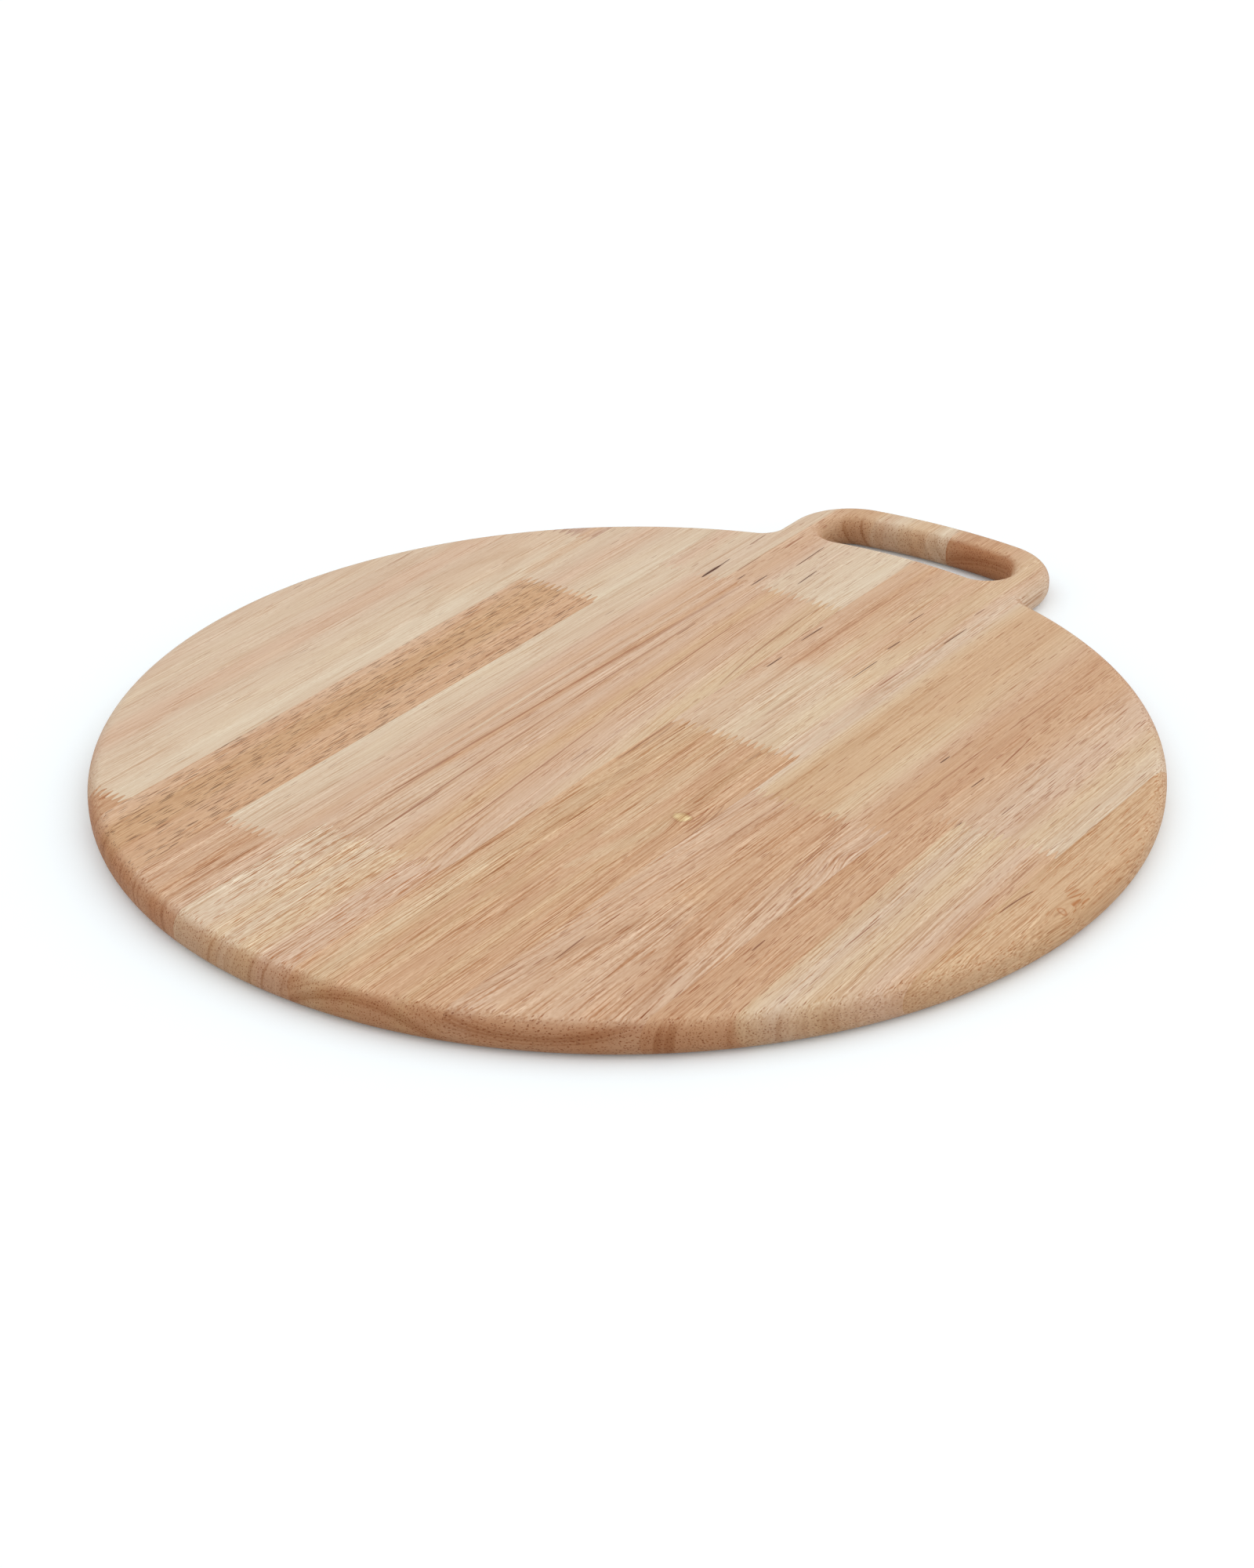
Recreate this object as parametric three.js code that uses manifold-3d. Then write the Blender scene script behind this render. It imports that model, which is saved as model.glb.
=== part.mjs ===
// A round serving board with a loop handle, routed from a panel of finger-jointed hardwood staves.
// Millimetres, +Z up. The origin is the middle of the disc, on the underside of the board.
// The grain, the staves and the handle run along +Y.

import * as THREE from 'three';
import { mergeVertices } from 'three/addons/utils/BufferGeometryUtils.js';
import Module from 'manifold-3d';

// The disc and its edge.
const DISC_DIAMETER = 440;
const THICKNESS = 15;
const EDGE_FLAT = 2; // upright band left between the upper and the lower roundover

// The loop handle: a curved hand slot with a rounded bar outside it and a leg at each end.
const RIM_TO_SLOT = 2; // the slot's inner wall lies this far outside the circle of the disc
const SLOT_WIDTH = 23.6;
const SLOT_LENGTH = 98;
const BAR_WIDTH = 19.4;
const LEG_WIDTH = 18;
const HANDLE_CORNER_RADIUS = 33; // outer corners, where the bar turns into the legs
const HANDLE_FILLET_RADIUS = 9; // inner corners, where the legs meet the disc
const BAR_TOP_FLAT = 1; // least flat that the roundovers leave on top of the bar and the legs

// The panel. Seams are glued edge to edge, and every stave is a chain of finger-jointed blocks.
const MIDDLE_SEAM_X = 7.9; // the seam that runs beside the middle of the board
const GLUE_LINE = 0.2;
const STAVE_3_WIDTH = 42.4;
const STAVE_4_WIDTH = 33.9;
const STAVE_5_WIDTH = 62;
const STAVE_6_WIDTH = 61.6;
const STAVE_7_WIDTH = 62.5;
const STAVE_1_WIDTH = 30.8; // what the rim leaves of the outermost staves, at their widest
const STAVE_9_WIDTH = 25.5;
const FINGER_PITCH = 3.37;
const FINGER_LENGTH = 6;
const FINGER_TIP = 0.5; // blunt end of a finger, and floor of the valley that takes it
const FINGER_TIP_GAP = 0.5; // glue pocket between a finger's end and its valley

// End blocks, measured from the circle of the disc along the longer side of their stave.
const STAVE_2_FRONT = 18.6;
const STAVE_2_HANDLE_END = 24.2;
const STAVE_3_HANDLE_END = 101.7;
const STAVE_4_FRONT = 66;
const STAVE_4_HANDLE_END = 64;
const STAVE_5_FRONT = 89.5;
const STAVE_5_HANDLE_END = 67.1;
const STAVE_6_HANDLE_END = 197.5;
const STAVE_7_FRONT = 197.9;
const STAVE_8_FRONT = 187.7;

// Fineness of the faceted surfaces.
const FACET_SAG = 0.06; // furthest that a flat facet strays from its true arc
const EDGE_FACETS = 5; // facets across one roundover
const CUT_MARGIN = 20; // how far a cutting shape runs past the board

// Wood tones, and the satin of an oiled surface.
const TONES = { cream: 0xd6bda5, straw: 0xd4b598, rose: 0xd0ae90, tan: 0xcda687, honey: 0xc7a07f };
const OILED_ROUGHNESS = 0.55;

// The staves from left to right, each with its end blocks and the tones of its blocks from the front on.
// Two end blocks leave a middle block between them.
const STAVES = [
  { tones: ['cream'] },
  { front: STAVE_2_FRONT, handleEnd: STAVE_2_HANDLE_END, tones: ['tan', 'cream', 'rose'] },
  { handleEnd: STAVE_3_HANDLE_END, tones: ['honey', 'cream'] },
  { front: STAVE_4_FRONT, handleEnd: STAVE_4_HANDLE_END, tones: ['tan', 'straw', 'cream'] },
  { front: STAVE_5_FRONT, handleEnd: STAVE_5_HANDLE_END, tones: ['straw', 'rose', 'cream'] },
  { handleEnd: STAVE_6_HANDLE_END, tones: ['tan', 'straw'] },
  { front: STAVE_7_FRONT, tones: ['tan', 'rose'] },
  { front: STAVE_8_FRONT, tones: ['rose', 'rose'] },
  { tones: ['tan'] },
];
const BLOCK_NAMES = { 1: ['whole'], 2: ['front', 'handle_end'], 3: ['front', 'middle', 'handle_end'] };

const wasm = await Module();
wasm.setup();

// Sizes that follow from the driving ones.
const discRadius = DISC_DIAMETER / 2;
const slotInnerRadius = discRadius + RIM_TO_SLOT;
const slotCentreRadius = slotInnerRadius + SLOT_WIDTH / 2;
const handleReach = slotInnerRadius + SLOT_WIDTH + BAR_WIDTH;
const handleHalfWidth = SLOT_LENGTH / 2 + LEG_WIDTH;
const roundestBar = (Math.min(BAR_WIDTH, LEG_WIDTH) - BAR_TOP_FLAT) / 2;
const edgeRadius = Math.min((THICKNESS - EDGE_FLAT) / 2, roundestBar);
const cutReach = handleReach + CUT_MARGIN;
const fingerFlank = FINGER_PITCH / 2 - FINGER_TIP; // run of a finger's sloping side across the stave

// Points along an arc, close enough together for FACET_SAG, without the last one.
function arcPoints(x, y, radius, from, to) {
  const step = 2 * Math.acos(1 - FACET_SAG / radius);
  const count = Math.max(2, Math.ceil(Math.abs(to - from) / step));
  const curve = new THREE.EllipseCurve(x, y, radius, radius, from, to, to < from);
  return curve.getPoints(count).slice(0, -1);
}

// Plan of the board: the disc, a fillet into each leg, the legs, the round corners and the bar.
function outlinePoints() {
  const fillet = HANDLE_FILLET_RADIUS;
  const filletX = handleHalfWidth + fillet;
  const filletY = Math.sqrt((discRadius + fillet) ** 2 - filletX ** 2);
  const straightestCorner =
    (handleReach ** 2 - handleHalfWidth ** 2 - filletY ** 2) / (2 * (handleReach - handleHalfWidth));
  const corner = Math.min(HANDLE_CORNER_RADIUS, straightestCorner);
  const cornerX = handleHalfWidth - corner;
  const cornerY = Math.sqrt((handleReach - corner) ** 2 - cornerX ** 2);
  const filletAngle = Math.atan2(filletY, filletX);
  const cornerAngle = Math.atan2(cornerY, cornerX);
  return [
    ...arcPoints(0, 0, discRadius, Math.PI - filletAngle, 2 * Math.PI + filletAngle),
    ...arcPoints(filletX, filletY, fillet, Math.PI + filletAngle, Math.PI),
    ...arcPoints(cornerX, cornerY, corner, 0, cornerAngle),
    ...arcPoints(0, 0, handleReach, cornerAngle, Math.PI - cornerAngle),
    ...arcPoints(-cornerX, cornerY, corner, Math.PI - cornerAngle, Math.PI),
    ...arcPoints(-filletX, filletY, fillet, 0, -filletAngle),
  ];
}

// Plan of the hand slot: the path of a round cutter along an arc about the middle of the disc.
function slotPoints() {
  const cutter = SLOT_WIDTH / 2;
  const endX = SLOT_LENGTH / 2 - cutter;
  const endY = Math.sqrt(slotCentreRadius ** 2 - endX ** 2);
  const endAngle = Math.atan2(endY, endX);
  return [
    ...arcPoints(0, 0, slotCentreRadius + cutter, endAngle, Math.PI - endAngle),
    ...arcPoints(-endX, endY, cutter, Math.PI - endAngle, 2 * Math.PI - endAngle),
    ...arcPoints(0, 0, slotInnerRadius, Math.PI - endAngle, endAngle),
    ...arcPoints(endX, endY, cutter, endAngle - Math.PI, endAngle),
  ];
}

// A closed geometry as a solid that can be cut.
function toSolid(geometry) {
  geometry.deleteAttribute('normal');
  geometry.deleteAttribute('uv');
  const merged = mergeVertices(geometry, 1e-4);
  const vertProperties = new Float32Array(merged.attributes.position.array);
  const triVerts = new Uint32Array(merged.index.array);
  return new wasm.Manifold(new wasm.Mesh({ numProp: 3, vertProperties, triVerts }));
}

// A cut solid as a geometry again.
function toGeometry(solid) {
  const mesh = solid.getMesh();
  const geometry = new THREE.BufferGeometry();
  geometry.setAttribute('position', new THREE.BufferAttribute(mesh.vertProperties, 3));
  geometry.setIndex(new THREE.BufferAttribute(mesh.triVerts, 1));
  geometry.computeVertexNormals();
  return geometry;
}

// The routed board in one piece, its roundover run along the rim, the handle and the slot.
function boardBlank() {
  const plan = new THREE.Shape(outlinePoints());
  plan.holes.push(new THREE.Path(slotPoints()));
  const blank = new THREE.ExtrudeGeometry(plan, {
    depth: THICKNESS - 2 * edgeRadius,
    bevelThickness: edgeRadius,
    bevelSize: edgeRadius,
    bevelOffset: -edgeRadius,
    bevelSegments: EDGE_FACETS,
  });
  blank.translate(0, 0, edgeRadius);
  return toSolid(blank);
}

// The seams from left to right. Next to each rim stave lies one that takes up the width left over.
function seamPositions() {
  const seams = [MIDDLE_SEAM_X];
  for (const width of [STAVE_5_WIDTH, STAVE_4_WIDTH, STAVE_3_WIDTH]) seams.unshift(seams[0] - width);
  for (const width of [STAVE_6_WIDTH, STAVE_7_WIDTH]) seams.push(seams.at(-1) + width);
  return [-cutReach, STAVE_1_WIDTH - discRadius, ...seams, discRadius - STAVE_9_WIDTH, cutReach];
}

// Where a stave's finger joints lie along Y, from the front to the handle.
function jointPositions({ front, handleEnd }, seamLeft, seamRight) {
  const longSideX = THREE.MathUtils.clamp(0, seamLeft, seamRight);
  const rimY = Math.sqrt(Math.max(discRadius ** 2 - longSideX ** 2, 0));
  const joints = [];
  if (front !== undefined) joints.push(front - rimY);
  if (handleEnd !== undefined) joints.push(rimY - handleEnd);
  return joints;
}

// Profile of a finger joint at one place across the stave. The outer block, nearer the end of the board,
// pushes its fingers towards the middle; one whose root the rim has cut away is left out.
function fingerHeight(x, y, seam) {
  const outward = y < 0 ? -1 : 1;
  const rootY = Math.abs(y) + FINGER_LENGTH / 2;
  const rootedHalfWidth = Math.sqrt(Math.max(discRadius ** 2 - rootY ** 2, 0));
  const finger = Math.floor((x - seam) / FINGER_PITCH);
  const start = seam + finger * FINGER_PITCH;
  const end = start + FINGER_PITCH - FINGER_TIP;
  if (Math.abs(start + end) / 2 > rootedHalfWidth) return (outward * FINGER_LENGTH) / 2;
  const reach = Math.min(x - start, end - x) / fingerFlank;
  return outward * FINGER_LENGTH * (0.5 - THREE.MathUtils.clamp(reach, 0, 1));
}

// One end of a block as points from its left to its right side, moved along Y by its share of the gap.
function jointProfile(left, right, y, seam, shift) {
  const corners = [];
  for (let start = seam; start < right; start += FINGER_PITCH) {
    const tip = start + fingerFlank;
    corners.push(start, tip, tip + FINGER_TIP, tip + FINGER_TIP + fingerFlank);
  }
  const xs = [left, ...corners.filter((x) => x > left && x < right), right];
  return xs.map((x) => new THREE.Vector2(x, y + shift + fingerHeight(x, y, seam)));
}

// A straight end, past the edge of the board.
function straightEnd(left, right, y) {
  return [new THREE.Vector2(left, y), new THREE.Vector2(right, y)];
}

// The upright prism that cuts one block of a stave out of the blank.
function blockCutter(seamLeft, seamRight, jointBelow, jointAbove) {
  const left = seamLeft + GLUE_LINE / 2;
  const right = seamRight - GLUE_LINE / 2;
  const pocket = FINGER_TIP_GAP / 2;
  const front =
    jointBelow === undefined
      ? straightEnd(left, right, -cutReach)
      : jointProfile(left, right, jointBelow, seamLeft, pocket);
  const back =
    jointAbove === undefined
      ? straightEnd(left, right, cutReach)
      : jointProfile(left, right, jointAbove, seamLeft, -pocket);
  const plan = new THREE.Shape([...front, ...back.reverse()]);
  const prism = new THREE.ExtrudeGeometry(plan, { depth: THICKNESS + 2 * CUT_MARGIN, bevelEnabled: false });
  prism.translate(0, 0, -CUT_MARGIN);
  return toSolid(prism);
}

// Every block of every stave, one mesh each; a block that the slot parts in two becomes two meshes.
function glueUp(blank) {
  const board = new THREE.Group();
  const seams = seamPositions();
  STAVES.forEach((layout, index) => {
    const stave = new THREE.Group();
    const [left, right] = [seams[index], seams[index + 1]];
    const joints = jointPositions(layout, left, right);
    const names = BLOCK_NAMES[layout.tones.length];
    layout.tones.forEach((tone, block) => {
      const cutter = blockCutter(left, right, joints[block - 1], joints[block]);
      const name = `stave_${index + 1}_${names[block]}`;
      blank
        .intersect(cutter)
        .decompose()
        .forEach((solid, piece) => {
          const material = new THREE.MeshStandardMaterial({
            color: TONES[tone],
            roughness: OILED_ROUGHNESS,
            metalness: 0,
            flatShading: true,
          });
          const mesh = new THREE.Mesh(toGeometry(solid), material);
          mesh.name = piece === 0 ? name : `${name}_${piece + 1}`;
          stave.add(mesh);
        });
    });
    board.add(stave);
  });
  return board;
}

export default glueUp(boardBlank());
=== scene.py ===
# %% [markdown]
# A round serving board with a loop handle. The real one is a slab of pale hardwood, glued up from
# staves that run along the grain, each stave a chain of blocks held end to end by finger joints. The
# slab was cut to shape after gluing, so one smooth rounded edge runs across all the blocks. This lesson
# follows the same order: the routed surface first, then the blocks, then the wood of each block.

# %% Load the frame
import math

import bpy
import numpy as np
from mathutils import Matrix, Vector
from mathutils.geometry import tessellate_polygon


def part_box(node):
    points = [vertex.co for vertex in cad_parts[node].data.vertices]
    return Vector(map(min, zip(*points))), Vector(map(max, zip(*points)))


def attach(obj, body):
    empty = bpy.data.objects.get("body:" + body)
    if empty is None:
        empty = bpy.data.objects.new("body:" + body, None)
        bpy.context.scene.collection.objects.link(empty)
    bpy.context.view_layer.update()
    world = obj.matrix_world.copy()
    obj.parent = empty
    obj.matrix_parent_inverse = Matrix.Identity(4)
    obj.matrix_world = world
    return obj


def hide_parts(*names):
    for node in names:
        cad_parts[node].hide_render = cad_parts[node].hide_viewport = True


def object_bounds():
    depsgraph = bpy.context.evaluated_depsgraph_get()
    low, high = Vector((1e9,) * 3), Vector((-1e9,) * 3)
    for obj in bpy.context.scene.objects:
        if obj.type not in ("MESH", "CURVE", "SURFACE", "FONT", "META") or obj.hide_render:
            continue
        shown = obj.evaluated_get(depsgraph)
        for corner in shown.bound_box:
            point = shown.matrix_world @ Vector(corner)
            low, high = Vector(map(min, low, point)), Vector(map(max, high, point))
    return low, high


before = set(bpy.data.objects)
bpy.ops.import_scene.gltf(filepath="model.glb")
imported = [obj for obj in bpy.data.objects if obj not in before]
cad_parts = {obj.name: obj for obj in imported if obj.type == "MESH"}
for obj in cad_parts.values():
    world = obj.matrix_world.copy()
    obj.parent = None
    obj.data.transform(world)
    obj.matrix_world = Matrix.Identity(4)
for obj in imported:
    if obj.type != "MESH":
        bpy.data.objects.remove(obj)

cad_low, cad_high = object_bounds()
print("CAD box in mm:", [round(1000 * side, 1) for side in cad_high - cad_low])

# %% [markdown]
# The camera stands where the picture was taken from: above the board, turned by a good third of a right
# angle from the grain. Its place is a direction and a distance from the middle of the disc. A real
# tripod is never quite level, so the camera also rolls by a fraction of a degree, and the frame is
# moved a little so that the board lies where it does in the picture.

# %% Camera
MM = 0.001
CAMERA_AZIMUTH = math.radians(36.05)
CAMERA_ELEVATION = math.radians(27.95)
CAMERA_ROLL = math.radians(-0.715)
CAMERA_DISTANCE = 1248.5 * MM
IMAGE_HEIGHT_PX = 2000
FOCAL_LENGTH_PX = 3848
AXIS_ABOVE_MIDDLE_PX = 22
SENSOR_MM = 36


def placed(name, data):
    """A new object at the origin, in the scene."""
    item = bpy.data.objects.new(name, data)
    bpy.context.scene.collection.objects.link(item)
    return item


def make_camera():
    """Camera on a sphere about the origin: forward from azimuth and elevation, then rolled."""
    a, e = CAMERA_AZIMUTH, CAMERA_ELEVATION
    back = Vector((math.sin(a) * math.cos(e), -math.cos(a) * math.cos(e), math.sin(e)))
    right = Vector((math.cos(a), math.sin(a), 0))
    up = back.cross(right)
    rolled_right = math.cos(CAMERA_ROLL) * right + math.sin(CAMERA_ROLL) * up
    rolled_up = math.cos(CAMERA_ROLL) * up - math.sin(CAMERA_ROLL) * right
    data = bpy.data.cameras.new("photo_camera")
    data.sensor_width = SENSOR_MM
    data.lens = FOCAL_LENGTH_PX / IMAGE_HEIGHT_PX * SENSOR_MM
    data.shift_y = -AXIS_ABOVE_MIDDLE_PX / IMAGE_HEIGHT_PX
    camera = placed("photo_camera", data)
    turn = Matrix((rolled_right, rolled_up, back)).transposed().to_4x4()
    camera.matrix_world = Matrix.Translation(back * CAMERA_DISTANCE) @ turn
    bpy.context.scene.camera = camera
    return camera


camera = make_camera()
print("camera lens in mm:", round(camera.data.lens, 2))

# %% [markdown]
# The plan of the board is made of arcs that meet smoothly: the disc, a small fillet into each leg of the
# handle, the legs, two round corners and the bar. The hand slot is the path of a round cutter along an
# arc. Both are functions of an inset: moving an outline inwards only changes the radius of its arcs,
# which is what the rounded edge needs in the next step.

# %% Outlines of the board and of the hand slot
DISC_RADIUS = 220 * MM
THICKNESS = 15 * MM
EDGE_RADIUS = 6.5 * MM
SLOT_INNER_RADIUS = 222 * MM
SLOT_WIDTH = 23.6 * MM
SLOT_LENGTH = 98 * MM
BAR_WIDTH = 19.4 * MM
LEG_WIDTH = 18 * MM
HANDLE_CORNER = 33 * MM
HANDLE_FILLET = 9 * MM
HANDLE_REACH = SLOT_INNER_RADIUS + SLOT_WIDTH + BAR_WIDTH
HANDLE_HALF_WIDTH = SLOT_LENGTH / 2 + LEG_WIDTH
POINT_SPACING = 1.3 * MM


def arc(x, y, radius, start, end, spread):
    """Points of an arc about (x, y), evenly spaced by angle; spread is the radius that sets their count."""
    count = max(8, round(abs(end - start) * spread / POINT_SPACING))
    angle = np.linspace(start, end, count, endpoint=False)
    return np.stack([x + radius * np.cos(angle), y + radius * np.sin(angle)], axis=1)


def board_outline(inset):
    """Disc, fillets, corners and bar as one closed loop; convex arcs lose the inset, fillets gain it."""
    fillet_x = HANDLE_HALF_WIDTH + HANDLE_FILLET
    fillet_y = math.sqrt((DISC_RADIUS + HANDLE_FILLET) ** 2 - fillet_x**2)
    corner_x = HANDLE_HALF_WIDTH - HANDLE_CORNER
    corner_y = math.sqrt((HANDLE_REACH - HANDLE_CORNER) ** 2 - corner_x**2)
    fillet_angle = math.atan2(fillet_y, fillet_x)
    corner_angle = math.atan2(corner_y, corner_x)
    disc, fillet = DISC_RADIUS - inset, HANDLE_FILLET + inset
    corner, bar = HANDLE_CORNER - inset, HANDLE_REACH - inset
    wide = HANDLE_FILLET + EDGE_RADIUS
    half, full = math.pi, 2 * math.pi
    return np.concatenate([
        arc(0, 0, disc, half - fillet_angle, full + fillet_angle, DISC_RADIUS),
        arc(fillet_x, fillet_y, fillet, half + fillet_angle, half, wide),
        arc(corner_x, corner_y, corner, 0, corner_angle, HANDLE_CORNER),
        arc(0, 0, bar, corner_angle, half - corner_angle, HANDLE_REACH),
        arc(-corner_x, corner_y, corner, half - corner_angle, half, HANDLE_CORNER),
        arc(-fillet_x, fillet_y, fillet, 0, -fillet_angle, wide),
    ])


def slot_outline(inset):
    """Path of a round cutter: two arcs about the disc's middle and two round ends, grown by the inset."""
    cutter = SLOT_WIDTH / 2
    centre = SLOT_INNER_RADIUS + cutter
    end_x = SLOT_LENGTH / 2 - cutter
    end_y = math.sqrt(centre**2 - end_x**2)
    end_angle = math.atan2(end_y, end_x)
    half, grown = math.pi, cutter + inset
    return np.concatenate([
        arc(0, 0, centre + grown, end_angle, half - end_angle, centre),
        arc(-end_x, end_y, grown, half - end_angle, 2 * half - end_angle, cutter + EDGE_RADIUS),
        arc(0, 0, centre - grown, half - end_angle, end_angle, centre),
        arc(end_x, end_y, grown, end_angle - half, end_angle, cutter + EDGE_RADIUS),
    ])


print("outline points:", len(board_outline(0)), "slot points:", len(slot_outline(0)))

# %% [markdown]
# A router with a quarter-round bit runs along every edge, above and below, and leaves a narrow upright
# band between. That edge is one profile carried along the outline: each step of the profile is the
# outline at its own inset and height. One more ring lies just inside the flat face, so that the smooth
# shading of the edge ends there and doesn't bend the light on the flat.

# %% The routed surface
EDGE_STEPS = 12
FLAT_RING = 0.6 * MM


def edge_profile():
    """Quarter circle, upright band, quarter circle: rows of (inset, height) from the underside up."""
    angle = np.linspace(0, math.pi / 2, EDGE_STEPS + 1)
    inset = EDGE_RADIUS * (1 - np.sin(angle))
    rise = EDGE_RADIUS * (1 - np.cos(angle))
    lower = np.stack([inset, rise], axis=1)
    upper = np.stack([inset, THICKNESS - rise], axis=1)[::-1]
    flat = EDGE_RADIUS + FLAT_RING
    return np.concatenate([[(flat, 0)], lower, upper, [(flat, THICKNESS)]])


def swept_wall(outline, first_index):
    """The profile carried along an outline: a grid of points (profile step, outline step) and its quads."""
    profile = edge_profile()
    rings = np.stack([np.c_[outline(inset), np.full(len(outline(inset)), z)] for inset, z in profile])
    steps, count = rings.shape[:2]
    grid = first_index + np.arange(steps * count).reshape(steps, count)
    ahead = np.roll(grid, -1, axis=1)
    quads = np.stack([grid[:-1], ahead[:-1], ahead[1:], grid[1:]], axis=-1).reshape(-1, 4)
    return rings, grid, quads


def routed_board():
    """The whole board: outer wall, slot wall turned inside out, and two flat faces with a hole in each."""
    outer, outer_grid, outer_quads = swept_wall(board_outline, 0)
    slot, slot_grid, slot_quads = swept_wall(slot_outline, outer_grid.size)
    points = np.concatenate([outer.reshape(-1, 3), slot.reshape(-1, 3)])
    faces = outer_quads.tolist() + slot_quads[:, ::-1].tolist()
    for ring, face_up in ((0, False), (-1, True)):
        index = np.concatenate([outer_grid[ring], slot_grid[ring]])
        loops = [outer[ring].tolist(), slot[ring].tolist()]
        triangles = index[np.array(tessellate_polygon(loops))]
        corner = points[triangles]
        spin = np.cross(corner[:, 1] - corner[:, 0], corner[:, 2] - corner[:, 0])[:, 2]
        wrong = (spin > 0) != face_up
        triangles[wrong] = triangles[wrong][:, ::-1]
        faces += triangles.tolist()
    mesh = bpy.data.meshes.new("routed_board")
    mesh.from_pydata(points.tolist(), [], faces)
    return mesh


board_mesh = routed_board()
print("routed surface:", len(board_mesh.vertices), "points,", len(board_mesh.polygons), "faces")

# %% [markdown]
# Every block is the part of the routed board that lies inside the block's own upright prism. The places
# of the seams and joints come from the boxes of the CAD blocks. The ends of a prism follow the fingers
# of the joint: a wave with blunt crests, the same wave for the two blocks that meet there. The glue
# lines of the real board are thinner than a hair, so the prisms leave only a hair between them.

# %% Plan of the blocks
GLUE_HAIR = 0.02 * MM
TIP_HAIR = 0.06 * MM
FINGER_PITCH = 3.37 * MM
FINGER_LENGTH = 6 * MM
FINGER_TIP = 0.5 * MM
FINGER_FLANK = FINGER_PITCH / 2 - FINGER_TIP
PAST_THE_EDGE = 30 * MM
BLOCK_ENDS = ("front", "middle", "handle_end", "whole")
STAVE_COUNT = 9


def stave_nodes(number):
    """CAD blocks of one stave, from the front of the board to its handle."""
    names = [f"stave_{number}_{end}" for end in BLOCK_ENDS]
    return [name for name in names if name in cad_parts]


def seam_positions():
    """Seams from left to right, halfway between the boxes of neighbouring staves."""
    lows = [min(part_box(node)[0].x for node in stave_nodes(i)) for i in range(1, STAVE_COUNT + 1)]
    highs = [max(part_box(node)[1].x for node in stave_nodes(i)) for i in range(1, STAVE_COUNT + 1)]
    seams = [(high + low) / 2 for high, low in zip(highs, lows[1:])]
    return [cad_low.x - PAST_THE_EDGE, *seams, cad_high.x + PAST_THE_EDGE]


def finger_wave(x, joint_y, seam):
    """From each pitch a flank down, a blunt tip and a flank back; none where the root is cut off."""
    outward = 1 if joint_y > 0 else -1
    rooted = math.sqrt(DISC_RADIUS**2 - (abs(joint_y) + FINGER_LENGTH / 2) ** 2)
    start = seam + np.floor((x - seam) / FINGER_PITCH) * FINGER_PITCH
    end = start + FINGER_PITCH - FINGER_TIP
    reach = np.clip(np.minimum(x - start, end - x) / FINGER_FLANK, 0, 1)
    reach = np.where(abs(start + end) / 2 > rooted, 0, reach)
    return outward * FINGER_LENGTH * (0.5 - reach)


def joint_line(left, right, joint_y, seam, shift):
    """A block's end from left to right: the corners of the finger wave between the two sides."""
    pitch = np.arange(math.ceil((right - seam) / FINGER_PITCH))[:, None] * FINGER_PITCH
    corners = (0, FINGER_FLANK, FINGER_FLANK + FINGER_TIP, FINGER_PITCH - FINGER_TIP)
    x = (seam + pitch + np.array(corners)).ravel()
    x = np.concatenate([[left], x[(x > left) & (x < right)], [right]])
    return np.stack([x, joint_y + shift + finger_wave(x, joint_y, seam)], axis=1)


def straight_line(left, right, y):
    """An end that lies past the edge of the board."""
    return np.array([(left, y), (right, y)])


def block_plans():
    """Plan of every block, by node name: its front line, then its back line the other way round."""
    seams = seam_positions()
    plans = {}
    for number in range(1, STAVE_COUNT + 1):
        seam = seams[number - 1]
        left, right = seam + GLUE_HAIR / 2, seams[number] - GLUE_HAIR / 2
        nodes = stave_nodes(number)
        joints = [(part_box(a)[1].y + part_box(b)[0].y) / 2 for a, b in zip(nodes, nodes[1:])]
        front = straight_line(left, right, cad_low.y - PAST_THE_EDGE)
        for node, joint in zip(nodes, [*joints, None]):
            if joint is None:
                back = straight_line(left, right, cad_high.y + PAST_THE_EDGE)
            else:
                back = joint_line(left, right, joint, seam, -TIP_HAIR / 2)
            plans[node] = np.concatenate([front, back[::-1]])
            if joint is not None:
                front = joint_line(left, right, joint, seam, TIP_HAIR / 2)
    return plans


plans = block_plans()
print("blocks planned:", len(plans))

# %% [markdown]
# A Boolean modifier keeps what the board and a prism share. It is evaluated once and its result becomes
# the mesh of the block, so nothing is left to recompute. The smooth shading stops at the sharp corners,
# where a seam or a finger leaves the surface.

# %% Cut the blocks
SHARP_ANGLE = math.radians(40)


def prism_mesh(name, plan):
    """An upright prism: the plan at two heights, with a wall of quads between them."""
    count = len(plan)
    heights = np.repeat([-PAST_THE_EDGE, THICKNESS + PAST_THE_EDGE], count)
    points = np.c_[np.tile(plan, (2, 1)), heights]
    low = np.arange(count)
    ahead = np.roll(low, -1)
    wall = np.stack([low, ahead, ahead + count, low + count], axis=1)
    mesh = bpy.data.meshes.new(name)
    mesh.from_pydata(points.tolist(), [], [low[::-1].tolist(), (low + count).tolist(), *wall.tolist()])
    return mesh


def cut_block(node, plan):
    """The part of the routed board inside the prism, as a new object that stands for the CAD block."""
    board = placed("board_blank", board_mesh)
    prism = placed("block_prism", prism_mesh("block_prism", plan))
    cut = board.modifiers.new("block", "BOOLEAN")
    cut.operation = "INTERSECT"
    cut.solver = "MANIFOLD"
    cut.object = prism
    result = board.evaluated_get(bpy.context.evaluated_depsgraph_get())
    mesh = bpy.data.meshes.new_from_object(result)
    mesh.name = f"wood_{node}"
    mesh.shade_smooth()
    mesh.set_sharp_from_angle(angle=SHARP_ANGLE)
    bpy.data.objects.remove(board)
    bpy.data.objects.remove(prism)
    return placed(f"wood_{node}", mesh)


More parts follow.
